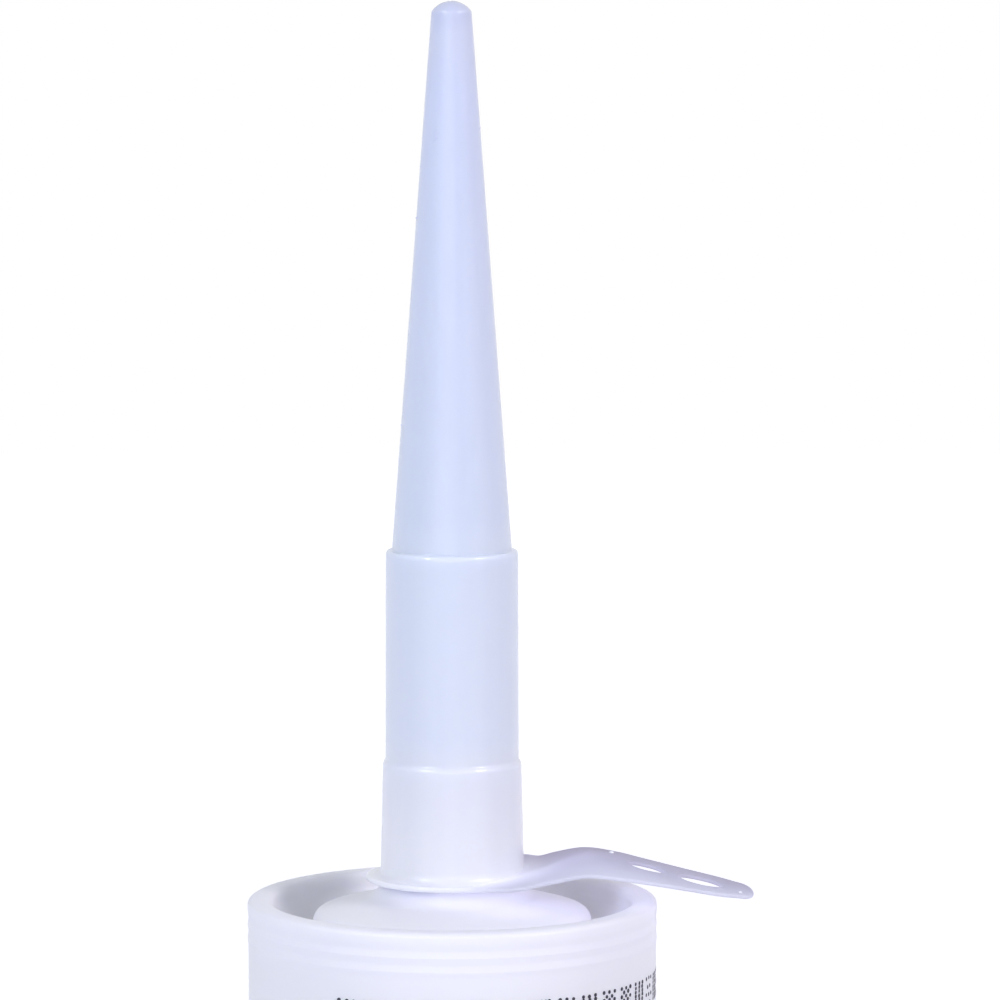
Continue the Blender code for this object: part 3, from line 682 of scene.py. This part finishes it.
def makeTab(t):
    # An upper and a lower sheet, and along each edge a rounded rim from one to the other:
    # out = edge sin(pi s)^0.8, z = low + thickness (1 + cos(pi s)) / 2, with s from 0 to 1.
    loops = tabLoops(t)
    insets = [loop + inward(loop) * t["edge"] for loop in loops[:-1]] + loops[-1:]
    flat, triangles = fillSheet(t, insets)
    under = tabUnderside(t, flat[:, 0], flat[:, 1])
    over = under + tabThickness(t, flat[:, 0], flat[:, 1])
    n = len(flat)
    points = [np.column_stack([flat, over]), np.column_stack([flat, under])]
    faces = triangles.tolist() + (triangles[:, ::-1] + n).tolist()
    total, start = 2 * n, 0
    bends = np.linspace(0, 1, t["edgeBends"] + 2)[1:-1]
    for index, (loop, inset) in enumerate(zip(loops, insets)):
        k = np.arange(len(loop))
        rows = [k + start]
        if index < len(loops) - 1:
            push = -inward(loop)
            low = tabUnderside(t, inset[:, 0], inset[:, 1])
            thick = tabThickness(t, inset[:, 0], inset[:, 1])
            for share in bends:
                out = t["edge"] * math.sin(math.pi * share) ** 0.8
                z = low + thick * (0.5 + 0.5 * math.cos(math.pi * share))
                points.append(np.column_stack([inset + push * out, z]))
                rows.append(k + total)
                total += len(loop)
        rows.append(k + start + n)
        for near, far in zip(rows, rows[1:]):
            faces += np.stack([near, far, np.roll(far, -1), np.roll(near, -1)], -1).tolist()
        start += len(loop)
    points = np.vstack(points) + np.array([0, 0, nozzleFoot])
    sheet = newPiece("hangTab", points, faces, tabLdpe, "nozzle")
    # map: u = x / reach, v = (y / half width + 1) / 2
    mesh = sheet.data
    corner = np.empty(len(mesh.loops), dtype=int)
    mesh.loops.foreach_get("vertex_index", corner)
    x, y = points[corner, 0], points[corner, 1]
    half = np.maximum(tabHalfWidth(t, np.minimum(x, t["reach"] - 0.5)), 1)
    uv = np.stack([x / t["reach"], np.clip(y / half, -1, 1) / 2 + 0.5], -1)
    mesh.uv_layers.new(name="acrossAndAlong").data.foreach_set("uv", uv.ravel())


def makePips(t):
    # small domes left by the mould's ejector pins: r = size sin(a), z = rise size cos(a)
    a = np.linspace(0, math.pi / 2, 8)
    points, faces, start = [], [], 0
    for x, y, size in t["pips"]:
        z = float(tabUnderside(t, np.array([x]), np.array([y]))[0]) + t["thickness"]
        dome = np.stack([size * np.sin(a), t["pipRise"] * size * np.cos(a)], -1)
        foot = np.array([[size, -t["pipSunk"]], [0, -t["pipSunk"]]])
        one, ring = turned(np.vstack([dome, foot]), 24)
        faces += [[q + start for q in face] for face in ring]
        points.append(one + np.array([x, y, z + nozzleFoot]))
        start += len(one)
    newPiece("tabPips", np.vstack(points), faces, burrLdpe, "nozzle")


# piston: heights from the floor

piston = {
    "radius": 23.05, "skirtRadius": 22.45, "innerRadius": 21.15, "rear": 10.5, "front": 32.5,
    "flatRadius": 11.0, "coneDrop": 2.6, "lip": 2.4, "lipStep": 0.6, "face": 1.6,
    "faceSlope": 0.35, "segments": 192,
}


def makePiston(p):
    # from the front face's middle out over both lips to the rear, then back inside
    lipTop = p["front"] - p["coneDrop"]
    upperLip, lowerLip = lipTop - p["lip"], p["rear"] + p["lip"]
    corners = [
        (0, p["front"]), (p["flatRadius"], p["front"], 2.0), (p["radius"], lipTop, 0.3),
        (p["radius"], upperLip, 0.3), (p["skirtRadius"], upperLip - p["lipStep"], 0.4),
        (p["skirtRadius"], lowerLip + p["lipStep"], 0.4), (p["radius"], lowerLip, 0.3),
        (p["radius"], p["rear"], 0.3), (p["innerRadius"], p["rear"], 0.4),
        (p["innerRadius"], lipTop - p["face"] + p["faceSlope"], 1.0),
        (p["flatRadius"], p["front"] - p["face"], 2.0), (0, p["front"] - p["face"])]
    points, faces = turned(softened(corners), p["segments"])
    cup = newPiece("pistonCup", points, faces, pistonLdpe, "piston")
    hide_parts("piston")


# ribs in the corner of the piston's face and skirt
ribs = {
    "count": 6, "run": 6.3, "sunk": 0.5, "top": 1.0, "climb": 0.9, "thin": 0.4, "depth": 5.4,
    "halfWidth": 0.6, "steps": 9,
}


def makeRibs(b, p):
    # Wedges with rounded undersides: u runs along a rib from the skirt inwards, 0 to 1, and v
    # over it, 0 to pi: w = half width cos(v), z = top - (thin + depth (1 - u)^1.3) sin(v).
    count = b["steps"]
    rib = np.arange(b["count"])[:, None, None]
    u = np.linspace(0, 1, count)[None, :, None]
    v = np.linspace(0, math.pi, count)[None, None, :]
    r = p["innerRadius"] + b["sunk"] - b["run"] * u + 0 * v
    top = p["front"] - p["coneDrop"] - p["face"] + b["top"] + b["climb"] * u
    z = top - (b["thin"] + b["depth"] * (1 - u) ** 1.3) * np.sin(v)
    w = b["halfWidth"] * np.cos(v) + 0 * u
    angle = 2 * math.pi * (rib + 0.5) / b["count"]
    x = r * np.cos(angle) - w * np.sin(angle)
    y = r * np.sin(angle) + w * np.cos(angle)
    points = np.stack([x, y, z + 0 * x], -1).reshape(-1, 3)
    quads = np.roll(gridQuads(count, count, joinColumns=True)[:, ::-1], 1, 1)
    each = count * count
    caps = [list(range(count - 1, -1, -1)), list(range(each - count, each))]
    faces = []
    for k in range(b["count"]):
        faces += (quads + each * k).tolist() + [[q + each * k for q in cap] for cap in caps]
    newPiece("pistonRibs", points, faces, pistonLdpe, "piston")


# sealant: the gap that it keeps from the plastic, the gaps between its own parts, and how
# thin core and ring get
sealant = {
    "gap": 0.3, "coreRadius": 14.9, "coreTop": 209.6, "ringGap": 0.02, "plugGap": 0.05,
    "thinnest": 0.3, "segments": 128, "plugSegments": 96,
}


def makeSealant(k, p, c):
    # Three turned parts, split so that as the piston rises the ring under the recess could shorten
    # to a thin disc against the ceiling, and the core within it to one a little higher, inside the
    # hollow shoulder, while the plug under shoulder and neck stays. Nothing here shortens them.
    gap, coreRadius, coreTop = k["gap"], k["coreRadius"], k["coreTop"]
    side = c["boreRadius"] - gap
    ceiling = rimTop - c["recessDepth"] - c["wall"] - gap
    front = p["front"] + gap
    slope = p["coneDrop"] / (p["radius"] - p["flatRadius"])
    seam = front - slope * (coreRadius - p["flatRadius"])
    core = softened([(0, coreTop), (coreRadius, coreTop, 0.2), (coreRadius, seam, 0.1),
                     (p["flatRadius"], front, 2.0), (0, front)])
    sideFoot = (side, front - p["coneDrop"])
    ringRadius = coreRadius + k["ringGap"]
    ring = softened([sideFoot, (ringRadius, seam), (ringRadius, ceiling), (side, ceiling),
                     sideFoot])
    plugRadius, plugFoot = c["shoulderRadius"] - c["wall"] - gap, coreTop + k["plugGap"]
    neckRadius = c["neckBoreRadius"] - gap
    neckTop = rimTop + c["hubTop"] + c["neckLength"] - c["membrane"] - gap
    plug = softened([(0, neckTop), (neckRadius, neckTop, 0.3),
                     (neckRadius, rimTop - c["neckBoreFoot"] - gap, 0.6),
                     (plugRadius, rimTop - c["shoulderDrop"] - c["wall"] - gap, 0.5),
                     (plugRadius, plugFoot, 0.4), (0, plugFoot)])
    points, faces = turned(core, k["segments"])
    body = newPiece("sealantCore", points, faces, paste, "tube")
    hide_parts("sealant")
    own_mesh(body)
    points, faces = turnedRing(ring, k["segments"])
    body = newPiece("sealantRing", points, faces, paste, "tube")
    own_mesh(body)
    points, faces = turned(plug, k["plugSegments"])
    newPiece("sealantPlug", points, faces, paste, "tube")


whiteHdpe = makeWhiteHdpe()
naturalLdpe = makeNaturalLdpe("naturalLdpeMoulded", 0.7, nozzle)
burrLdpe = makeNaturalLdpe("naturalLdpeBurr", 0.0, nozzle)    # too small for light to go in
tabLdpe = makeTabLdpe()
ink = makeInk()
pistonLdpe = makePistonLdpe()
paste = makePaste()
print("materials made")

makeCartridge(cartridge)
makeThread(thread, cartridge)
makePrint(printLine, cartridge)
makeNozzle(nozzle)
makeNicks(nicks, nozzle)
makeTab(tab)
makePips(tab)
makePiston(piston)
makeRibs(ribs, piston)
makeSealant(sealant, piston, cartridge)
print("pieces made")


# stage, light and camera

stage = {
    "ambient": 0.385, "roomColour": "#EDF1FF",
    "floorSize": 6.0, "floorDrop": 0.0003, "floorColour": "#F4F4F8",
    "floorGlow": 1.65, "floorShare": 0.4,
    # name, degrees round to the right, height in degrees, width in degrees, strength, colour
    "lights": (("leftLight", -46, 30, 12, 1.27, "#E5ECFF"),
               ("rightLight", 54, 30, 16, 1.37, "#F5F0FF"),
               ("frontLight", -12, 6, 45, 0.62, "#F0F3FF"),
               ("sideLight", 100, 14, 40, 0.05, "#F3F2FF")),
    "camera": {"right": 5.82, "back": 640.0, "aboveRim": 111.7, "pitch": 5.624, "lens": 191.25},
}


def seenDirectly(tree):
    # 1 for what the camera sees, also in a reflection or through a clear piece
    path = addNode(tree, "ShaderNodeLightPath")
    seen = path.outputs["Is Camera Ray"]
    for also in ("Is Transmission Ray", "Is Glossy Ray"):
        larger = addNode(tree, "ShaderNodeMath", {0: seen, 1: path.outputs[also]},
                         operation="MAXIMUM")
        seen = larger.outputs[0]
    return seen


def makeRoom(s):
    # a pale bluish room for the light, a white one for the eye
    world = bpy.data.worlds.new("paleRoom")
    bpy.context.scene.world = world
    world.use_nodes = True
    tree = world.node_tree
    tree.nodes.clear()
    room = addNode(tree, "ShaderNodeBackground",
                   {"Color": linear(s["roomColour"]), "Strength": s["ambient"]})
    white = addNode(tree, "ShaderNodeBackground", {"Color": linear("#FFFFFF"), "Strength": 1.0})
    either = addNode(tree, "ShaderNodeMixShader", {
        "Fac": seenDirectly(tree), 1: room.outputs[0], 2: white.outputs[0]})
    addNode(tree, "ShaderNodeOutputWorld", {"Surface": either.outputs[0]})


def makeFloor(s):
    # pale paper that keeps the object's shadow and is near white to the eye
    paper = bpy.data.materials.new("palePaperFloor")
    paper.use_nodes = True
    tree = paper.node_tree
    tree.nodes.clear()
    matt = addNode(tree, "ShaderNodeBsdfDiffuse", {"Color": linear(s["floorColour"])})
    glow = addNode(tree, "ShaderNodeEmission",
                   {"Color": linear("#FFFFFF"), "Strength": s["floorGlow"]})
    share = addNode(tree, "ShaderNodeMath", {0: seenDirectly(tree), 1: s["floorShare"]},
                    operation="MULTIPLY")
    both = addNode(tree, "ShaderNodeMixShader", {
        "Fac": share.outputs[0], 1: matt.outputs[0], 2: glow.outputs[0]})
    # seen from below, the floor is clear, so that the open rear of the tube shows
    clear = addNode(tree, "ShaderNodeBsdfTransparent")
    under = addNode(tree, "ShaderNodeNewGeometry").outputs["Backfacing"]
    sided = addNode(tree, "ShaderNodeMixShader",
                    {"Fac": under, 1: both.outputs[0], 2: clear.outputs[0]})
    addNode(tree, "ShaderNodeOutputMaterial", {"Surface": sided.outputs[0]})
    half, z = s["floorSize"] / 2, -s["floorDrop"]
    mesh = bpy.data.meshes.new("floor")
    mesh.from_pydata([(-half, -half, z), (half, -half, z), (half, half, z), (-half, half, z)],
                     [], [(0, 1, 2, 3)])
    mesh.materials.append(paper)
    floor = bpy.data.objects.new("floor", mesh)
    bpy.context.scene.collection.objects.link(floor)


def makeLights(s):
    # soft lights: one to each side in front, a wide low one beside the camera, a faint one
    # from the right
    for name, turn, height, width, power, colour in s["lights"]:
        light = bpy.data.lights.new(name, "SUN")
        light.energy = power
        light.angle = math.radians(width)
        light.color = linear(colour)[:3]
        lamp = bpy.data.objects.new(name, light)
        lamp.rotation_euler = (math.radians(90 - height), 0, math.radians(turn))
        bpy.context.scene.collection.objects.link(lamp)


def makeCamera(c):
    # in front of the tube and above it, looking a little down
    lens = bpy.data.cameras.new("photoLens")
    lens.sensor_width = 36
    lens.lens = c["lens"]
    lens.clip_end = 100
    camera = bpy.data.objects.new("photoCamera", lens)
    camera.location = (tubeX + c["right"] * mm, -c["back"] * mm, (rimTop + c["aboveRim"]) * mm)
    camera.rotation_euler = (math.radians(90 - c["pitch"]), 0, 0)
    bpy.context.scene.collection.objects.link(camera)
    bpy.context.scene.camera = camera


makeRoom(stage)
makeFloor(stage)
makeLights(stage)
makeCamera(stage["camera"])
bpy.context.scene.view_settings.view_transform = "Standard"
print("stage, light and camera set")
